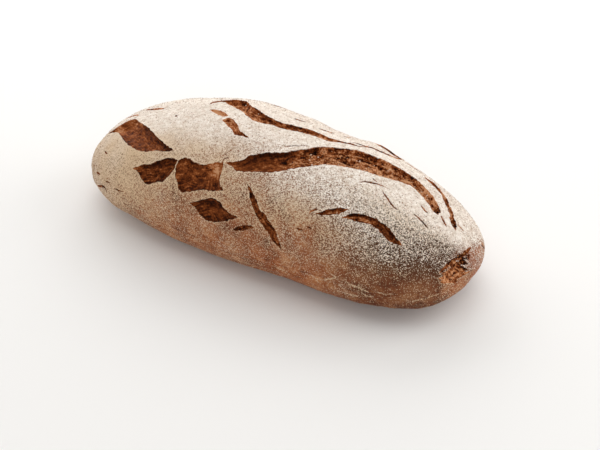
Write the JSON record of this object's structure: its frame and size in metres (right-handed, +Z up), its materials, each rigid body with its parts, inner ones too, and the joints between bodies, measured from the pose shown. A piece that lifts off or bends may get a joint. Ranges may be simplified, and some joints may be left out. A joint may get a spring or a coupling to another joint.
{
  "type": "rye bread loaf",
  "caption": "Long oval rye bread loaf with a domed, floured crust, torn splits along its top and flanks, and a flat underside.",
  "frame": {"origin": "middle of the flat underside, which lies on the table", "axes": "+X along the loaf, -Y out of its front flank, +Z up through its ridge"},
  "size_m": [0.3, 0.1291, 0.0822],
  "materials": {
    "floured_crust": "matte baked rye crust dusted with flour, brown where it is bare or torn"
  },
  "bodies": {
    "root": {"loaf": "floured_crust"}
  },
  "joints": []
}
